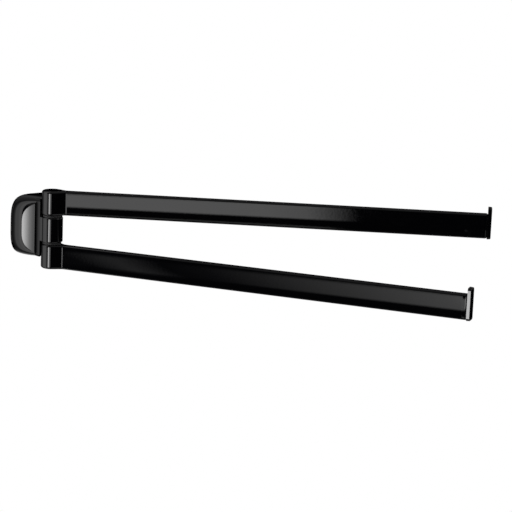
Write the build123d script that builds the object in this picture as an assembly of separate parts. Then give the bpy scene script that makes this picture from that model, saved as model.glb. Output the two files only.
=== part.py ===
from build123d import *
import os
from math import acos, atan2, cos, hypot, pi, radians, sin, sqrt, tan

# Two-arm swivel towel rack. The wall face is the plane Y = 0, the room is on the -Y side, and +Z is up.
# The origin is the middle of the wall face. Both arms turn on one upright pin in front of the rosette.
# Lengths are millimetres and angles are degrees.

# Arms. Each is drawn along +X from its hinge axis, with its mid-height at Z = 0, and then swung into place.
ARM_REACH = 418.0  # hinge axis to the outer face of the end cap
BAR_HEIGHT = 23.6
BAR_THICK = 8.4  # at mid-height
BAR_CROWN = 0.6  # how far each broad face falls away from mid-height to the bar's top and bottom
BAR_EDGE = 2.0  # radius along the bar's four long edges
BAR_WALL = 1.6
SEAM = 14.5  # hinge axis to the joint between barrel and bar
BARREL_RADIUS = 10.3
NECK_END = 13.0  # where the flat sides that leave the barrel tangentially meet the bar's thickness
NECK_FILLET = 1.5
ARM_LEVEL = 26.0  # height of each arm's middle above or below the row's middle
ARM_SWING = {"upper": 49.5, "lower": 33.2}  # from straight out of the wall towards +X

# End caps
CAP_THICK = 3.5
CAP_DEPTH = 10.2
CAP_LIP = 6.2  # how far the cap stands above the bar, so that towels stay on
CAP_DROP = 0.5  # how far it hangs below the bar
CAP_TAPER = 3.5  # slope of the cap's rim, which draws in towards its outer face
CAP_CORNER = 2.4
CAP_EDGE = 0.8
COLLAR_LENGTH = 4.5  # part of the cap that carries on the bar's section
COLLAR_ROUND = 1.8  # rounding of the collar where it meets the cap's plate
CAP_SEAM = ARM_REACH - CAP_THICK - COLLAR_LENGTH  # hinge axis to the joint between bar and cap

# Tenons that fill the ends of the bar
TENON_GAP = 0.05
BARREL_TENON = 22.0
CAP_TENON = 15.0
TENON_EDGE = 0.7
GRUB_RADIUS = 1.5
GRUB_HOLE_DEPTH = 5.25
GRUB_LENGTH = 4.8
GRUB_SINK = 0.25  # how far a grub screw's end lies below the surface
GRUB_SOCKET = 0.75
GRUB_SOCKET_DEPTH = 1.8

# Hinge
PIVOT_OFFSET = 33.0  # wall face to hinge axis
KNUCKLE_HALF = 12.3  # half height of the rosette's middle knuckle
KNUCKLE_EDGE = 1.3
PIN_RADIUS = 4.0
PIN_HALF = 32.3
PIN_CHAMFER = 0.3
PIN_PRESS_GAP = 0.02
PIN_HOLE_SPARE = 0.5  # depth of the pin's tapped holes beyond the screw
BUSH_RADIUS = 6.0
BUSH_RUNNING_GAP = 0.05
BUSH_LENGTH = 8.0
BUSH_INSET = 0.2  # how far the inner bush lies inside the barrel's end
BUSH_FLOOR_INSET = 0.1  # how far the outer bush lies below the counterbore's floor
POCKET_RADIUS = 7.5  # counterbore at each barrel's outer end
POCKET_DEPTH = 6.5
SEAT_GAP = 0.03  # between a seated ring and its seat, in one body
WASHER_RADIUS = 9.0
WASHER_GAP = 0.1  # running gap between a thrust washer and its barrel
SPRING_OUTER = 6.6
SPRING_INNER = 4.15
SPRING_THICK = 0.45
SPRING_CONE = 0.4
SPRING_GAP = 0.12  # running gap between the spring and the pocket's floor
KEEPER_RADIUS = 6.6
KEEPER_THICK = 1.0
KEEPER_HOLE_GAP = 0.1
SCREW_RADIUS = 2.0
SCREW_LENGTH = 8.0
SCREW_HEAD_RADIUS = 3.8
SCREW_HEAD_HEIGHT = 2.2
SCREW_HEAD_ROUND = 1.2
SCREW_SOCKET = 1.3
SCREW_SOCKET_DEPTH = 1.4
COVER_THICK = 1.8
COVER_SKIRT = 1.8
COVER_SKIRT_WALL = 0.55
COVER_CHAMFER = 0.35

# Rosette
ROSETTE_HALF_WIDTH = 27.1
ROSETTE_HALF_HEIGHT = 29.6
ROSETTE_TALLEST = 2.0  # distance from the wall to the tallest outline
SIDE_FALL = 4.6  # how far the left and right sides have drawn in at the cheeks' outer edges
SIDE_POWER = 1.75  # 1 would be a straight side, and larger curves more towards the front
END_PULL = 0.0037  # how quickly the top and bottom draw in, per millimetre squared
ROSETTE_SQUARENESS = 3.8  # exponent of the outline: 2 is an ellipse, and larger is squarer
ROSETTE_FRONT = 23.7  # where the pillow's loft stops, above the cheeks
PILLOW_STEPS = 7
OUTLINE_POINTS = 32
CHEEK_OUTER = (22.5, 13.9)  # plan point, across and out from the wall, of each cheek's outer edge
CHEEK_INNER = (13.4, 22.6)
CHEEK_BULGE = 0.2  # rise of the cheek above the straight line between those points
FIN_TAPER = 9.0  # slope of the fin's sides, which grow thicker towards the wall
FIN_HALF_HEIGHT = 28.0
FIN_BACK = 2.0  # where the fin starts, inside the rosette
FIN_FRONT = 29.0  # where it stops, inside the hinge
FIN_EDGE = 2.4
RELIEF_RADIUS = 11.85  # hollow above and below the knuckle that the barrels turn in
HOLLOW_HALF_WIDTH = 21.5
HOLLOW_HALF_HEIGHT = 24.3
HOLLOW_DEPTH = 9.5

# Wall bracket and the screw that locks the rosette to it
BRACKET_WIDTH = 36.0
BRACKET_HEIGHT = 43.0
BRACKET_THICK = 2.5
BRACKET_CORNER = 5.0
FLANGE_WIDTH = 20.0
FLANGE_REACH = 8.8
BRACKET_HOLE = 2.3
BRACKET_HOLE_SPACING = 26.0
BRACKET_SINK = 4.2  # radius of each hole's countersink
LOCK_RADIUS = 2.0
LOCK_OUT = 6.2  # distance of the locking screw from the wall
LOCK_SINK = 0.5
LOCK_SOCKET = 1.0
LOCK_SOCKET_DEPTH = 2.5
LOCK_HOLE_TOP = 3.0  # how far its hole runs on into the rosette's hollow

SIDES = {"upper": 1, "lower": -1}
BORE_GAP = 0.02
OVERLAP = 1.0  # how far cutters run past a surface, and joined shapes run into each other
SAME_PLACE = 1e-4


def hex_socket(radius, depth):
    """Six-sided recess that opens at Z = 0 and goes down."""
    return extrude(RegularPolygon(radius / cos(pi / 6), 6), -depth)


def rod(radius, low, high):
    """Solid round bar about the Z axis."""
    return Pos(0, 0, low) * Cylinder(radius, high - low, align=(Align.CENTER, Align.CENTER, Align.MIN))


def ring(outer, inner, low, high):
    """Flat ring about the Z axis."""
    return rod(outer, low, high) - rod(inner, low - OVERLAP, high + OVERLAP)


# ---------------------------------------------------------------- arms


def along_bar(section, start, end):
    """Extrude a section, drawn as thickness by height, along +X from start to end."""
    plane = Plane((start, 0, 0), x_dir=(0, 1, 0), z_dir=(1, 0, 0))
    return extrude(plane * section, end - start)


def bar_section():
    """Outline of the bar: two gently crowned faces, and rounded edges."""
    crown = BAR_THICK / 2
    edge = crown - BAR_CROWN
    half = BAR_HEIGHT / 2
    shape = make_face(
        Curve()
        + [
            ThreePointArc((edge, -half), (crown, 0), (edge, half)),
            Line((edge, half), (-edge, half)),
            ThreePointArc((-edge, half), (-crown, 0), (-edge, -half)),
            Line((-edge, -half), (edge, -half)),
        ]
    )
    return fillet(shape.vertices(), BAR_EDGE)


def tube_section(gap=0.0):
    """The bar's hollow, or the tenon that fills it when a gap is given."""
    width = BAR_THICK - 2 * BAR_WALL - 2 * gap
    height = BAR_HEIGHT - 2 * BAR_WALL - 2 * gap
    return RectangleRounded(width, height, TENON_EDGE)


def grub_hole(place, radius, depth):
    """Round hole that goes up into the bar's underside."""
    return Pos(place, 0, 0) * rod(radius, -BAR_HEIGHT / 2 - OVERLAP, -BAR_HEIGHT / 2 + depth)


def grub_places():
    """Where the grub screws cross the bar: at the barrel's tenon and at the cap's."""
    return SEAM + BARREL_TENON / 2, CAP_SEAM - CAP_TENON / 2


def flush_edges(body, levels, seam):
    """Edges that lie in one of the flat levels, apart from those in the seam plane."""
    picked = []
    for edge in body.edges():
        middle = edge.position_at(0.5)
        in_level = any(abs(middle.Z - level) < SAME_PLACE for level in levels)
        if in_level and abs(middle.X - seam) > SAME_PLACE:
            picked.append(edge)
    return picked


def neck_plan():
    """Plan of the barrel, whose sides run straight from the round to the bar's thickness."""
    thick = (BAR_THICK - BAR_CROWN) / 2
    touch = atan2(thick, NECK_END) + acos(BARREL_RADIUS / hypot(NECK_END, thick))
    touch_point = (BARREL_RADIUS * cos(touch), BARREL_RADIUS * sin(touch))
    edge = [(0, 0), touch_point, (NECK_END, thick), (SEAM, thick), (SEAM, 0)]
    side = make_face(Polyline(*edge, close=True))
    return Circle(BARREL_RADIUS) + side + mirror(side, Plane.XZ)


def neck_corners(plan):
    """The two corners of the neck where its sides meet the bar's thickness."""
    return [v for v in plan.vertices() if abs(v.X - NECK_END) < SAME_PLACE]


def hinge_barrel(side):
    """Barrel with its neck and tenon. The counterbore is at the end away from the other arm."""
    plan = fillet(neck_corners(neck_plan()), NECK_FILLET)
    half = BAR_HEIGHT / 2
    body = Pos(0, 0, -half) * extrude(plan, BAR_HEIGHT)
    body = fillet(flush_edges(body, (-half, half), SEAM), BAR_EDGE)
    tenon = along_bar(tube_section(TENON_GAP), SEAM - OVERLAP, SEAM + BARREL_TENON)
    pin_hole = rod(BUSH_RADIUS + SEAT_GAP, -half - OVERLAP, half + OVERLAP)
    pocket = rod(POCKET_RADIUS, half - POCKET_DEPTH, half + OVERLAP)
    if side < 0:
        pocket = mirror(pocket, Plane.XY)
    tapped = grub_hole(grub_places()[0], GRUB_RADIUS + BORE_GAP, GRUB_HOLE_DEPTH)
    return body + tenon - pin_hole - pocket - tapped


def bar():
    """Hollow flat bar with one grub-screw hole near each end."""
    tube = along_bar(bar_section(), SEAM, CAP_SEAM)
    tube -= along_bar(tube_section(), SEAM - OVERLAP, CAP_SEAM + OVERLAP)
    for place in grub_places():
        tube -= grub_hole(place, GRUB_RADIUS + BORE_GAP, BAR_WALL + OVERLAP)
    return tube


def cap_plate():
    """Upright end plate that stands above the bar."""
    section = RectangleRounded(CAP_DEPTH, BAR_HEIGHT + CAP_LIP + CAP_DROP, CAP_CORNER)
    plane = Plane((ARM_REACH - CAP_THICK, 0, 0), x_dir=(0, 1, 0), z_dir=(1, 0, 0))
    plate = extrude(plane * Pos(0, (CAP_LIP - CAP_DROP) / 2) * section, CAP_THICK, taper=CAP_TAPER)
    return fillet(plate.faces().sort_by(Axis.X)[-1].edges(), CAP_EDGE)


def cap_collar():
    """Short length of the bar's section, rounded off where it meets the plate."""
    plate_face = ARM_REACH - CAP_THICK
    collar = along_bar(bar_section(), CAP_SEAM, plate_face)
    collar = fillet(collar.faces().sort_by(Axis.X)[-1].edges(), COLLAR_ROUND)
    core = along_bar(tube_section(TENON_GAP), CAP_SEAM - CAP_TENON, plate_face + OVERLAP)
    return collar + core


def end_cap():
    """End plate and collar, with a tenon that plugs the bar's end."""
    tapped = grub_hole(grub_places()[1], GRUB_RADIUS + BORE_GAP, GRUB_HOLE_DEPTH)
    return cap_plate() + cap_collar() - tapped


def grub_screw(place):
    """Socket grub screw in the bar's underside."""
    low = -BAR_HEIGHT / 2 + GRUB_SINK
    body = rod(GRUB_RADIUS, low, low + GRUB_LENGTH)
    socket = Pos(0, 0, low) * mirror(hex_socket(GRUB_SOCKET, GRUB_SOCKET_DEPTH), Plane.XY)
    return Pos(place, 0, 0) * (body - socket)


def bush(side, end):
    """Plain sleeve. End 0 is at the washer and end 1 is at the counterbore."""
    low = -BAR_HEIGHT / 2 + BUSH_INSET
    high = BAR_HEIGHT / 2 - POCKET_DEPTH - BUSH_FLOOR_INSET
    start = low if end == 0 else high - BUSH_LENGTH
    sleeve = ring(BUSH_RADIUS, PIN_RADIUS + BUSH_RUNNING_GAP, start, start + BUSH_LENGTH)
    return sleeve if side > 0 else mirror(sleeve, Plane.XY)


def barrel_cover(side):
    """Press-in cover that closes the counterbore flush with the barrel's end."""
    top = BAR_HEIGHT / 2
    radius = POCKET_RADIUS - SEAT_GAP
    disc = rod(radius, top - COVER_THICK, top)
    disc = chamfer(disc.faces().sort_by(Axis.Z)[-1].edges(), COVER_CHAMFER)
    skirt_low = top - COVER_THICK - COVER_SKIRT
    cover = disc + ring(radius, radius - COVER_SKIRT_WALL, skirt_low, top - COVER_THICK)
    return cover if side > 0 else mirror(cover, Plane.XY)


def place_arm_piece(name, piece):
    """Swing a piece of the named arm to its rest direction and lift it to its level."""
    level = SIDES[name] * ARM_LEVEL
    return Pos(0, -PIVOT_OFFSET, level) * Rot(0, 0, ARM_SWING[name] - 90) * piece


# ---------------------------------------------------------------- hinge pieces that stay with the rosette


def at_pivot(piece):
    return Pos(0, -PIVOT_OFFSET, 0) * piece


def handed(side, piece):
    """Pieces of the upper hinge end are drawn right way up, and the lower end's are their mirror image."""
    return at_pivot(piece if side > 0 else mirror(piece, Plane.XY))


def pivot_pin():
    """Round pin with a tapped hole in each end."""
    pin = rod(PIN_RADIUS, -PIN_HALF, PIN_HALF)
    pin = chamfer(pin.edges().filter_by(GeomType.CIRCLE), PIN_CHAMFER)
    hole_floor = PIN_HALF - SCREW_LENGTH - PIN_HOLE_SPARE
    for side in SIDES.values():
        hole = rod(SCREW_RADIUS + BORE_GAP, hole_floor, PIN_HALF + OVERLAP)
        pin -= hole if side > 0 else mirror(hole, Plane.XY)
    return at_pivot(pin)


def thrust_washer(side):
    top = ARM_LEVEL - BAR_HEIGHT / 2 - WASHER_GAP
    return handed(side, ring(WASHER_RADIUS, PIN_RADIUS + BORE_GAP, KNUCKLE_HALF, top))


def friction_spring(side):
    """Coned disc spring that holds each arm where it is put."""
    low = ARM_LEVEL + BAR_HEIGHT / 2 - POCKET_DEPTH + SPRING_GAP
    profile = Polygon(
        (SPRING_INNER, low + SPRING_CONE),
        (SPRING_OUTER, low),
        (SPRING_OUTER, low + SPRING_THICK),
        (SPRING_INNER, low + SPRING_CONE + SPRING_THICK),
        align=None,
    )
    return handed(side, revolve(Plane.XZ * profile, Axis.Z))


def keeper_washer(side):
    washer = ring(KEEPER_RADIUS, SCREW_RADIUS + KEEPER_HOLE_GAP, PIN_HALF, PIN_HALF + KEEPER_THICK)
    return handed(side, washer)


def keeper_screw(side):
    """Button-head screw in the end of the pin."""
    seat = PIN_HALF + KEEPER_THICK
    head = rod(SCREW_HEAD_RADIUS, seat, seat + SCREW_HEAD_HEIGHT)
    head = fillet(head.faces().sort_by(Axis.Z)[-1].edges(), SCREW_HEAD_ROUND)
    shank = rod(SCREW_RADIUS, PIN_HALF - SCREW_LENGTH, seat)
    socket = Pos(0, 0, seat + SCREW_HEAD_HEIGHT) * hex_socket(SCREW_SOCKET, SCREW_SOCKET_DEPTH)
    return handed(side, head + shank - socket)


# ---------------------------------------------------------------- rosette and bracket


def outline(half_width, half_height, out):
    """The rosette's rounded outline, at a distance out from the wall."""
    points = []
    for step in range(OUTLINE_POINTS):
        angle = 2 * pi * step / OUTLINE_POINTS
        across = abs(cos(angle)) ** (2 / ROSETTE_SQUARENESS) * half_width
        up = abs(sin(angle)) ** (2 / ROSETTE_SQUARENESS) * half_height
        points.append((across if cos(angle) > 0 else -across, -out, up if sin(angle) > 0 else -up))
    return make_face(Spline(points, periodic=True))


def half_height_at(out):
    return ROSETTE_HALF_HEIGHT - END_PULL * (out - ROSETTE_TALLEST) ** 2


def half_width_at(out):
    return ROSETTE_HALF_WIDTH - SIDE_FALL * (out / CHEEK_OUTER[1]) ** SIDE_POWER


def pillow():
    """Outer form of the rosette, which draws in from the wall towards its front."""
    sections = []
    for step in range(PILLOW_STEPS + 1):
        out = ROSETTE_FRONT * step / PILLOW_STEPS
        sections.append(outline(half_width_at(out), half_height_at(out), out))
    return loft(sections)


def fin_half_width(out):
    """Half thickness of the fin, whose sides run tangent to the knuckle's nose."""
    taper = radians(FIN_TAPER)
    touch_out = PIVOT_OFFSET - BARREL_RADIUS * sin(taper)
    return BARREL_RADIUS * cos(taper) + (touch_out - out) * tan(taper)


def cheek_cut():
    """What is cut away beside the fin: down its side, along a narrow land, then along the sloping cheek."""
    far = 2 * ROSETTE_HALF_HEIGHT
    across = CHEEK_OUTER[0] - CHEEK_INNER[0]
    fall = CHEEK_INNER[1] - CHEEK_OUTER[1]
    chord = sqrt(across**2 + fall**2)
    middle = (
        (CHEEK_OUTER[0] + CHEEK_INNER[0]) / 2 + CHEEK_BULGE * fall / chord,
        (CHEEK_OUTER[1] + CHEEK_INNER[1]) / 2 + CHEEK_BULGE * across / chord,
    )
    beyond = (CHEEK_OUTER[0] + across, CHEEK_OUTER[1] - fall)
    root = (fin_half_width(CHEEK_INNER[1]), CHEEK_INNER[1])
    top = (fin_half_width(far), far)
    shape = make_face(
        Curve()
        + [
            Line(root, CHEEK_INNER),
            ThreePointArc(CHEEK_INNER, middle, CHEEK_OUTER),
            Line(CHEEK_OUTER, beyond),
            Line(beyond, (beyond[0], far)),
            Line((beyond[0], far), top),
            Line(top, root),
        ]
    )
    return mirror(extrude(shape, far, both=True), Plane.XZ)


def fin_plan(near, far):
    """Plan of the fin between two distances from the wall."""
    return Polygon(
        (-fin_half_width(near), -near),
        (fin_half_width(near), -near),
        (fin_half_width(far), -far),
        (-fin_half_width(far), -far),
        align=None,
    )


def rims(body, half):
    """Edges round the flat top and bottom of a body that reaches half above and below the middle."""
    return [edge for edge in body.edges() if abs(abs(edge.position_at(0.5).Z) - half) < SAME_PLACE]


def fin():
    """Upright web from the rosette to the hinge."""
    block = extrude(fin_plan(FIN_BACK, FIN_FRONT), FIN_HALF_HEIGHT, both=True)
    return fillet(rims(block, FIN_HALF_HEIGHT), FIN_EDGE)


def knuckle():
    """Middle knuckle of the hinge: sides in line with the fin and a round nose about the pin."""
    touch = PIVOT_OFFSET - BARREL_RADIUS * sin(radians(FIN_TAPER))
    plan = fin_plan(CHEEK_OUTER[1], touch) + Pos(0, -PIVOT_OFFSET) * Circle(BARREL_RADIUS)
    body = extrude(plan, KNUCKLE_HALF, both=True)
    return fillet(rims(body, KNUCKLE_HALF), KNUCKLE_EDGE)


def rosette():
    """Cast cover: pillow, fin and knuckle in one piece, hollow at the back."""
    cut = cheek_cut()
    body = pillow() - cut - mirror(cut, Plane.YZ) + fin()
    for side in SIDES.values():
        body -= handed(side, rod(RELIEF_RADIUS, KNUCKLE_HALF - KNUCKLE_EDGE, 2 * FIN_HALF_HEIGHT))
    body += knuckle()
    body -= extrude(outline(HOLLOW_HALF_WIDTH, HOLLOW_HALF_HEIGHT, 0), HOLLOW_DEPTH, dir=(0, -1, 0))
    body -= at_pivot(rod(PIN_RADIUS + PIN_PRESS_GAP, -2 * KNUCKLE_HALF, 2 * KNUCKLE_HALF))
    lock_hole = rod(LOCK_RADIUS + BORE_GAP, -2 * ROSETTE_HALF_HEIGHT, -HOLLOW_HALF_HEIGHT + LOCK_HOLE_TOP)
    return body - Pos(0, -LOCK_OUT, 0) * lock_hole


def wall_bracket():
    """Pressed plate screwed to the wall, with a flange above and below that the rosette slips over."""
    plate = RectangleRounded(BRACKET_WIDTH, BRACKET_HEIGHT, BRACKET_CORNER)
    body = extrude(Plane.XZ * plate, BRACKET_THICK)
    flange = Box(FLANGE_WIDTH, FLANGE_REACH, BRACKET_THICK, align=(Align.CENTER, Align.MAX, Align.MIN))
    body += Pos(0, 0, BRACKET_HEIGHT / 2 - BRACKET_THICK) * flange
    body += Pos(0, 0, -BRACKET_HEIGHT / 2) * flange
    for side in SIDES.values():
        drill = Plane((0, 0, side * BRACKET_HOLE_SPACING / 2), z_dir=(0, -1, 0))
        sink_depth = BRACKET_SINK - BRACKET_HOLE
        body -= drill * rod(BRACKET_HOLE, -OVERLAP, BRACKET_THICK + OVERLAP)
        sink = Cone(BRACKET_HOLE, BRACKET_SINK, sink_depth, align=(Align.CENTER, Align.CENTER, Align.MAX))
        body -= drill * Pos(0, 0, BRACKET_THICK) * sink
    return body


def lock_screw():
    """Grub screw under the rosette that presses against the bracket's lower flange."""
    low = LOCK_SINK - half_height_at(LOCK_OUT)
    body = rod(LOCK_RADIUS, low, -BRACKET_HEIGHT / 2)
    socket = Pos(0, 0, low) * mirror(hex_socket(LOCK_SOCKET, LOCK_SOCKET_DEPTH), Plane.XY)
    return Pos(0, -LOCK_OUT, 0) * (body - socket)


nodes = {
    "wall_bracket": wall_bracket(),
    "rosette": rosette(),
    "rosette_lock_screw": lock_screw(),
    "pivot_pin": pivot_pin(),
}
for name, side in SIDES.items():
    nodes[name + "_thrust_washer"] = thrust_washer(side)
    nodes[name + "_friction_spring"] = friction_spring(side)
    nodes[name + "_keeper_washer"] = keeper_washer(side)
    nodes[name + "_keeper_screw"] = keeper_screw(side)
    barrel_place, cap_place = grub_places()
    arm_pieces = {
        "_hinge_barrel": hinge_barrel(side),
        "_inner_bush": bush(side, 0),
        "_outer_bush": bush(side, 1),
        "_barrel_cover": barrel_cover(side),
        "_bar": bar(),
        "_barrel_grub_screw": grub_screw(barrel_place),
        "_end_cap": end_cap(),
        "_cap_grub_screw": grub_screw(cap_place),
    }
    for ending, piece in arm_pieces.items():
        nodes[name + ending] = place_arm_piece(name, piece)

os.makedirs("parts", exist_ok=True)
for node, solid in nodes.items():
    export_step(solid, f"parts/{node}.step")
    print(node, round(solid.volume, 1))
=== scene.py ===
import math
from collections import namedtuple

import bpy
from mathutils import Matrix, Vector


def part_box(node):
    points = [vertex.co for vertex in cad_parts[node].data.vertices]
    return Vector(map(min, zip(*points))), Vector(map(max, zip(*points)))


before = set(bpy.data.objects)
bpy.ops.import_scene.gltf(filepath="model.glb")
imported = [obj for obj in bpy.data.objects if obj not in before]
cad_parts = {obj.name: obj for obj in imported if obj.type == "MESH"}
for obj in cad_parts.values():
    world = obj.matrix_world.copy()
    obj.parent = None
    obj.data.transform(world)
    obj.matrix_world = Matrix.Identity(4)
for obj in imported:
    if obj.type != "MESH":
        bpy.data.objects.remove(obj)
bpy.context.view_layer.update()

# The towel rack in a pale studio, in metres and degrees. The wall is the plane Y = 0, and the arms reach
# out of it towards -Y. A compass direction of zero is straight out of the wall, and negative directions
# are to the left of that, where the camera stands.

# ---------------------------------------------------------------- camera and floor

pin_low, pin_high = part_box("pivot_pin")
HINGE = (pin_low + pin_high) / 2

# A long lens, a little above the rack and to its left
LENS = 140.6  # millimetres, like the sensor
SENSOR = 36.0
AZIMUTH = -35.9
ELEVATION = 12.0
ROLL = 2.25
DISTANCE = 1.92
AIM_RIGHT = 0.1958  # from the hinge to the middle of the view, across and up the picture
AIM_UP = -0.0260
CLIP_NEAR = 0.05
CLIP_FAR = 200.0

FLOOR_DROP = 1.5
FLOOR_HALF = 40.0

# ---------------------------------------------------------------- lights

# A pale board in the plane of the wall, to the left of the rosette, which only shows in reflections. Its
# brightness goes by the distance from the rosette's middle: dim beside the rosette, and bright farther out.
BOARD_NEAR = 0.029
BOARD_FAR = 1.4
BOARD_HALF_HEIGHT = 0.45
BOARD_STOPS = [
    (0.0, 0.05),
    (BOARD_NEAR, 0.05),
    (0.037, 0.2),
    (0.042, 1.0),
    (0.050, 1.05),
    (0.070, 1.1),
    (0.12, 1.5),
    (BOARD_FAR, 0.5),
]

# Cards round the rack, as brightness by compass direction. The brightest shows in the rosette's cheek, down
# the barrels and on the lower arm's end cap. The last one before the dark makes the light panel on the
# upper bar. The lower bar shows the slow fall of light to the left of the brightest.
CARD_STOPS = [
    (-180.0, 0.2),
    (-130.0, 0.3),
    (-112.0, 0.55),
    (-99.0, 0.9),
    (-86.5, 1.3),
    (-85.0, 0.02),
    (-82.9, 0.02),
    (-81.5, 0.33),  # a dim card, which shows at the start of the lower bar
    (-81.3, 0.01),
    (-79.2, 0.005),
    (-77.4, 0.21),
    (-74.9, 0.60),
    (-71.9, 1.12),
    (-70.4, 1.7),
    (-67.5, 8.5),
    (-64.5, 12.0),
    (-60.5, 8.0),
    (-56.5, 4.0),
    (-52.0, 2.0),
    (-43.7, 1.95),
    (-43.1, 0.0),
    (180.0, 0.0),
]
# Elevations of the cards' lower and upper edges at direction CARD_AT. Both edges slant.
CARD_AT = -47.0
CARD_SLANT = 0.11
CARD_LOW = -13.2
CARD_LOW_SOFT = 1.2
CARD_TOP = -3.0
CARD_TOP_SOFT = 0.9
# From LEFT_START round to LEFT_END the upper edge rises to LEFT_TOP and softens
LEFT_START = -88.0
LEFT_END = -104.0
LEFT_TOP = 26.0
LEFT_TOP_SOFT = 14.0

# Patches of even light: directions of the two sides, elevations of the two edges, how far each side and
# edge takes to fade, and brightness. A patch from -200 to 200 goes all the way round.
Patch = namedtuple("Patch", "left right bottom top soft light")
PATCHES = [
    Patch(-51.5, -43.0, -19.3, -17.9, 0.4, 0.5),  # the thin line low on the upper bar
    Patch(-75.5, -70.0, -23.4, -21.6, 0.4, 0.9),  # a glint at the lower bar's far end
    Patch(-30.0, 178.0, -60.0, -14.4, 0.8, 0.45),  # low down on the right
    Patch(25.0, 105.0, 0.0, 45.0, 6.0, 0.7),  # higher up on the right
    Patch(-200.0, 200.0, 24.0, 100.0, 7.0, 0.2),  # ceiling
    Patch(-200.0, 200.0, -100.0, -40.0, 7.0, 0.15),  # ground
]

WHITE = (1.0, 1.0, 1.0, 1.0)

# ---------------------------------------------------------------- surfaces

# Colours run from a first shade to a second, roughness from low to high, and a scale is how many waves
# of noise fit in a metre. A bump is its strength and its depth.

# How many finer layers lie over the broadest waves of a noise
SMOOTH = 2.0
VARIED = 3.0
RAGGED = 4.0

EDGE_REACH = 0.0005  # how far in from an edge its wear goes
EDGE_SAMPLES = 4
EDGE_ALIKE = (0.90, 0.985)  # agreement of the rounded and the true normal, at a sharp edge and on a flat
EDGE_PATCH_SCALE = 240.0
EDGE_PATCH_NOISE = (0.42, 0.62)

MOTTLE_NOISE = (0.3, 0.7)  # the noise values that give the first shade or roughness, and the second

ENAMEL_BLACK = (0.0022, 0.0022, 0.0030)
ENAMEL_RUBBED = (0.010, 0.010, 0.011)
ENAMEL_ROUGH = (0.020, 0.045)
ENAMEL_RUBBED_ROUGH = 0.12  # added on worn edges
HAZE_SCALE = 38.0
HAZE_NOISE = (0.3, 0.75)
WIPE_SCALES = (30.0, 30.0, 420.0)  # along X, Y and Z: level streaks, as a cloth leaves
WIPE_NOISE = (0.55, 0.8)
WIPE_ROUGH = (0.0, 0.015)
PEEL_SCALE = 420.0
PEEL_BUMP = (0.05, 0.0001)

ZINC_BLUE = (0.50, 0.52, 0.55)
ZINC_YELLOW = (0.60, 0.58, 0.52)
ZINC_ROUGH = (0.26, 0.40)
ZINC_THIN_ROUGH = 0.15  # added where the plating is thin
ZINC_TINT_SCALE = 60.0
CRYSTAL_SCALE = 260.0
CRYSTAL_REACH = (0.0, 0.8)
CRYSTAL_BUMP = (0.15, 0.0002)

STEEL_GREY = (0.56, 0.56, 0.57)
STEEL_PALE = (0.66, 0.66, 0.65)
STEEL_ROUGH = (0.20, 0.36)
STEEL_POLISH = 0.10  # taken off on worn edges
STEEL_SPOT_SCALE = 90.0
LATHE_SCALES = (40.0, 40.0, 5200.0)  # along X, Y and Z: fine rings round the upright axis
LATHE_BUMP = (0.12, 0.0001)
LATHE_ANISOTROPY = 0.4

ACETAL_SCALE = 70.0
ACETAL_POLISH = 0.12  # taken off on worn edges
ACETAL_IOR = 1.48
GRAIN_SCALE = 1400.0
GRAIN_BUMP = (0.25, 0.0001)
WASHER_DARK = (0.016, 0.016, 0.018)
WASHER_LIGHT = (0.026, 0.026, 0.027)
WASHER_ROUGH = (0.42, 0.60)
BUSH_DARK = (0.70, 0.69, 0.64)
BUSH_LIGHT = (0.80, 0.79, 0.75)
BUSH_ROUGH = (0.36, 0.50)

# A node's material goes by how its name ends, and every other node is black gloss
KIND_BY_ENDING = {
    "wall_bracket": "plated_steel",
    "thrust_washer": "black_acetal",
    "bush": "bush_acetal",
    "screw": "stainless",
    "spring": "stainless",
    "keeper_washer": "stainless",
    "pin": "stainless",
}


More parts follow.
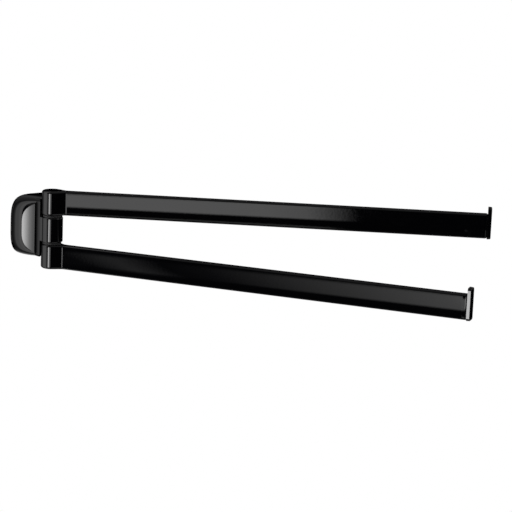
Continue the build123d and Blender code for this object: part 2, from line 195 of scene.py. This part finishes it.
class Nodes:
    """Short calls that add shader nodes to one tree and join them."""

    def __init__(self, tree):
        self.tree = tree
        self.tree.nodes.clear()

    def add(self, kind, inputs=None, **settings):
        node = self.tree.nodes.new(kind)
        for name, value in settings.items():
            setattr(node, name, value)
        for name, value in (inputs or {}).items():
            if isinstance(value, bpy.types.NodeSocket):
                self.tree.links.new(value, node.inputs[name])
            else:
                node.inputs[name].default_value = value
        return node

    def math(self, operation, first, second=0.0):
        return self.add("ShaderNodeMath", {0: first, 1: second}, operation=operation).outputs[0]

    def product(self, first, *others):
        for other in others:
            first = self.math("MULTIPLY", first, other)
        return first

    def between(self, value, low, high, to_low=0.0, to_high=1.0, linear=False):
        """Map a value from one range to another, eased at both ends unless linear is asked for."""
        node = self.add(
            "ShaderNodeMapRange",
            {"Value": value, "From Min": low, "From Max": high, "To Min": to_low, "To Max": to_high},
            interpolation_type="LINEAR" if linear else "SMOOTHSTEP",
        )
        return node.outputs["Result"]

    def around(self, value, edge, soft, to_low=0.0, to_high=1.0):
        """Step from to_low to to_high as a value passes an edge, eased over soft on each side."""
        return self.between(value, edge - soft, edge + soft, to_low, to_high)

    def through(self, value, stops):
        """Level at a value, on straight lines through (value, level) stops."""
        start, end = stops[0][0], stops[-1][0]
        peak = max(level for _, level in stops)
        share = self.between(value, start, end, linear=True)
        node = self.add("ShaderNodeValToRGB", {"Fac": share})
        elements = node.color_ramp.elements
        while len(elements) < len(stops):
            elements.new(0.5)
        for element, (place, level) in zip(elements, stops):
            element.position = (place - start) / (end - start)
            element.color = (level / peak, level / peak, level / peak, 1.0)
        return self.product(node.outputs["Color"], peak)

    def noise(self, place, detail, scale=1.0):
        node = self.add("ShaderNodeTexNoise", {"Vector": place, "Scale": scale, "Detail": detail})
        return node.outputs["Fac"]

    def stretched(self, place, scales):
        """The place, multiplied by a scale along each axis."""
        return self.add("ShaderNodeMapping", {"Vector": place, "Scale": scales}).outputs["Vector"]

    def mixed(self, share, first, second):
        """Blend of two colours."""
        node = self.add("ShaderNodeMix", data_type="RGBA")
        self.tree.links.new(share, node.inputs["Factor"])
        node.inputs["A"].default_value = (*first, 1.0)
        node.inputs["B"].default_value = (*second, 1.0)
        return node.outputs["Result"]


# ---------------------------------------------------------------- studio


def glow_material(name, light=None):
    """Material that gives off light and reflects none. light makes its strength, which is otherwise 1."""
    material = bpy.data.materials.new(name)
    material.use_nodes = True
    made = Nodes(material.node_tree)
    glow = made.add("ShaderNodeEmission", {"Color": WHITE})
    if light is not None:
        made.tree.links.new(light(made), glow.inputs["Strength"])
    made.add("ShaderNodeOutputMaterial", {"Surface": glow.outputs["Emission"]})
    return material


def add_floor():
    """Pale floor, which only the camera sees."""
    bpy.ops.mesh.primitive_plane_add(size=2 * FLOOR_HALF, location=(0, 0, -FLOOR_DROP))
    floor = bpy.context.object
    floor.name = "floor"
    floor.data.materials.append(glow_material("pale_floor"))
    floor.visible_glossy = False
    floor.visible_diffuse = False
    floor.visible_transmission = False
    floor.visible_shadow = False


def board_light(made):
    """Brightness of the board, by distance to the left of the rosette's middle."""
    place = made.add("ShaderNodeTexCoord").outputs["Object"]
    across = made.add("ShaderNodeSeparateXYZ", {0: place}).outputs["X"]
    return made.through(made.product(across, -1.0), BOARD_STOPS)


def add_board():
    """Pale board in the plane of the wall, which only shows in reflections."""
    corners = [
        (-BOARD_FAR, 0.0, -BOARD_HALF_HEIGHT),
        (-BOARD_NEAR, 0.0, -BOARD_HALF_HEIGHT),
        (-BOARD_NEAR, 0.0, BOARD_HALF_HEIGHT),
        (-BOARD_FAR, 0.0, BOARD_HALF_HEIGHT),
    ]
    mesh = bpy.data.meshes.new("wall_board")
    mesh.from_pydata(corners, [], [(0, 1, 2, 3)])
    board = bpy.data.objects.new("wall_board", mesh)
    bpy.context.scene.collection.objects.link(board)
    board.data.materials.append(glow_material("board_glow", board_light))
    board.visible_camera = False
    board.visible_shadow = False


def camera_axes():
    """Right, up and back of the camera, as directions in the room."""
    azimuth = math.radians(AZIMUTH)
    elevation = math.radians(ELEVATION)
    roll = math.radians(ROLL)
    back = Vector(
        (
            math.sin(azimuth) * math.cos(elevation),
            -math.cos(azimuth) * math.cos(elevation),
            math.sin(elevation),
        )
    )
    level_right = Vector((math.cos(azimuth), math.sin(azimuth), 0.0))
    level_up = back.cross(level_right)
    right = level_right * math.cos(roll) + level_up * math.sin(roll)
    return right, back.cross(right), back


def add_camera():
    """Camera whose view is centred beside the hinge."""
    right, up, back = camera_axes()
    place = HINGE + right * AIM_RIGHT + up * AIM_UP + back * DISTANCE
    data = bpy.data.cameras.new("camera")
    data.lens = LENS
    data.sensor_width = SENSOR
    data.clip_start = CLIP_NEAR
    data.clip_end = CLIP_FAR
    camera = bpy.data.objects.new("camera", data)
    camera.matrix_world = Matrix(
        (
            (right.x, up.x, back.x, place.x),
            (right.y, up.y, back.y, place.y),
            (right.z, up.z, back.z, place.z),
            (0.0, 0.0, 0.0, 1.0),
        )
    )
    bpy.context.scene.collection.objects.link(camera)
    bpy.context.scene.camera = camera


def look_direction(made):
    """Compass direction and elevation of what a ray looks at."""
    direction = made.add("ShaderNodeTexCoord").outputs["Generated"]
    parts = made.add("ShaderNodeSeparateXYZ", {0: direction})
    outward = made.product(parts.outputs["Y"], -1.0)
    turn = made.math("ARCTAN2", parts.outputs["X"], outward)
    rise = made.math("ARCSINE", parts.outputs["Z"])
    return made.product(turn, math.degrees(1.0)), made.product(rise, math.degrees(1.0))


def card_light(made, turn, height):
    """Brightness of the cards, between their lower and upper edges."""
    slant = made.product(made.math("SUBTRACT", turn, CARD_AT), CARD_SLANT)
    above = made.math("SUBTRACT", height, slant)
    low = made.around(above, CARD_LOW, CARD_LOW_SOFT)
    top = made.between(turn, LEFT_END, LEFT_START, LEFT_TOP, CARD_TOP)
    soft = made.between(turn, LEFT_END, LEFT_START, LEFT_TOP_SOFT, CARD_TOP_SOFT)
    past = made.math("DIVIDE", made.math("SUBTRACT", above, top), soft)
    high = made.between(past, -1.0, 1.0, 1.0, 0.0)
    return made.product(made.through(turn, CARD_STOPS), low, high)


def patch_light(made, turn, height, patch):
    """Brightness of one patch, which fades at its two sides and its two edges."""
    return made.product(
        made.around(turn, patch.left, patch.soft, 0.0, patch.light),
        made.around(turn, patch.right, patch.soft, 1.0, 0.0),
        made.around(height, patch.bottom, patch.soft),
        made.around(height, patch.top, patch.soft, 1.0, 0.0),
    )


def light_world():
    """White to the camera, and cards and patches of light to everything else."""
    world = bpy.data.worlds.new("studio")
    bpy.context.scene.world = world
    world.use_nodes = True
    made = Nodes(world.node_tree)
    turn, height = look_direction(made)
    total = card_light(made, turn, height)
    for patch in PATCHES:
        total = made.math("ADD", total, patch_light(made, turn, height, patch))
    seen = made.add("ShaderNodeLightPath").outputs["Is Camera Ray"]
    total = made.math("MAXIMUM", made.product(total, made.math("SUBTRACT", 1.0, seen)), seen)
    glow = made.add("ShaderNodeBackground", {"Color": WHITE, "Strength": total})
    made.add("ShaderNodeOutputWorld", {"Surface": glow.outputs["Background"]})


# ---------------------------------------------------------------- materials


def start_material(name):
    """New node material, with the place on the object and a mask of its worn edges."""
    material = bpy.data.materials.new(name)
    material.use_nodes = True
    made = Nodes(material.node_tree)
    place = made.add("ShaderNodeTexCoord").outputs["Object"]
    rounded = made.add("ShaderNodeBevel", {"Radius": EDGE_REACH}, samples=EDGE_SAMPLES)
    true = made.add("ShaderNodeNewGeometry")
    normals = {0: rounded.outputs["Normal"], 1: true.outputs["Normal"]}
    alike = made.add("ShaderNodeVectorMath", normals, operation="DOT_PRODUCT")
    edge = made.between(alike.outputs["Value"], *EDGE_ALIKE, 1.0, 0.0)
    patchy = made.between(made.noise(place, RAGGED, EDGE_PATCH_SCALE), *EDGE_PATCH_NOISE)
    return material, made, place, made.product(edge, patchy)


def finish_material(material, made, colour, rough, height, bump, constants):
    """Join colour, roughness and a bumped surface to the material's output."""
    strength, depth = bump
    normal = made.add("ShaderNodeBump", {"Height": height, "Strength": strength, "Distance": depth})
    inputs = {"Base Color": colour, "Roughness": rough, "Normal": normal.outputs["Normal"], **constants}
    skin = made.add("ShaderNodeBsdfPrincipled", inputs)
    made.add("ShaderNodeOutputMaterial", {"Surface": skin.outputs["BSDF"]})
    return material


def black_gloss():
    """Polished black enamel: faint orange peel, wiped haze, and edges rubbed a little duller."""
    material, made, place, worn = start_material("black_gloss")
    haze = made.between(made.noise(place, RAGGED, HAZE_SCALE), *HAZE_NOISE, *ENAMEL_ROUGH)
    streaks = made.noise(made.stretched(place, WIPE_SCALES), VARIED)
    wipes = made.between(streaks, *WIPE_NOISE, *WIPE_ROUGH)
    rough = made.math("ADD", made.math("ADD", haze, wipes), made.product(worn, ENAMEL_RUBBED_ROUGH))
    colour = made.mixed(worn, ENAMEL_BLACK, ENAMEL_RUBBED)
    peel = made.noise(place, SMOOTH, PEEL_SCALE)
    return finish_material(material, made, colour, rough, peel, PEEL_BUMP, {})


def plated_steel():
    """Zinc-plated pressing: soft crystalline mottling, and edges where the plating has thinned."""
    material, made, place, worn = start_material("plated_steel")
    crystals = made.add("ShaderNodeTexVoronoi", {"Vector": place, "Scale": CRYSTAL_SCALE})
    crystals = crystals.outputs["Distance"]
    tint = made.between(made.noise(place, VARIED, ZINC_TINT_SCALE), *MOTTLE_NOISE)
    colour = made.mixed(made.math("MAXIMUM", tint, worn), ZINC_BLUE, ZINC_YELLOW)
    rough = made.between(crystals, *CRYSTAL_REACH, *ZINC_ROUGH)
    rough = made.math("ADD", rough, made.product(worn, ZINC_THIN_ROUGH))
    return finish_material(material, made, colour, rough, crystals, CRYSTAL_BUMP, {"Metallic": 1.0})


def stainless():
    """Turned stainless steel: fine rings left by the tool, and polished rims."""
    material, made, place, worn = start_material("stainless")
    rings = made.noise(made.stretched(place, LATHE_SCALES), SMOOTH)
    spots = made.between(made.noise(place, RAGGED, STEEL_SPOT_SCALE), *MOTTLE_NOISE)
    colour = made.mixed(spots, STEEL_GREY, STEEL_PALE)
    rough = made.between(rings, *MOTTLE_NOISE, *STEEL_ROUGH)
    rough = made.math("SUBTRACT", rough, made.product(worn, STEEL_POLISH))
    metal = {"Metallic": 1.0, "Anisotropic": LATHE_ANISOTROPY}
    return finish_material(material, made, colour, rough, rings, LATHE_BUMP, metal)


def acetal(name, dark, light, rough_range):
    """Moulded or turned plastic: fine grain, slight mottling, and edges burnished by wear."""
    material, made, place, worn = start_material(name)
    grain = made.noise(place, VARIED, GRAIN_SCALE)
    mottling = made.between(made.noise(place, VARIED, ACETAL_SCALE), *MOTTLE_NOISE)
    colour = made.mixed(mottling, dark, light)
    rough = made.between(grain, *MOTTLE_NOISE, *rough_range)
    rough = made.math("SUBTRACT", rough, made.product(worn, ACETAL_POLISH))
    return finish_material(material, made, colour, rough, grain, GRAIN_BUMP, {"IOR": ACETAL_IOR})


def give_materials():
    """Give every node one material, by its name."""
    made = {
        "black_gloss": black_gloss(),
        "plated_steel": plated_steel(),
        "stainless": stainless(),
        "black_acetal": acetal("black_acetal", WASHER_DARK, WASHER_LIGHT, WASHER_ROUGH),
        "bush_acetal": acetal("bush_acetal", BUSH_DARK, BUSH_LIGHT, BUSH_ROUGH),
    }
    for name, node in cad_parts.items():
        kinds = [kind for ending, kind in KIND_BY_ENDING.items() if name.endswith(ending)]
        material = made[kinds[0] if kinds else "black_gloss"]
        if not node.material_slots:
            node.data.materials.append(material)
        for slot in node.material_slots:
            slot.material = material


add_floor()
add_board()
add_camera()
light_world()
give_materials()
bpy.context.scene.view_settings.view_transform = "Standard"
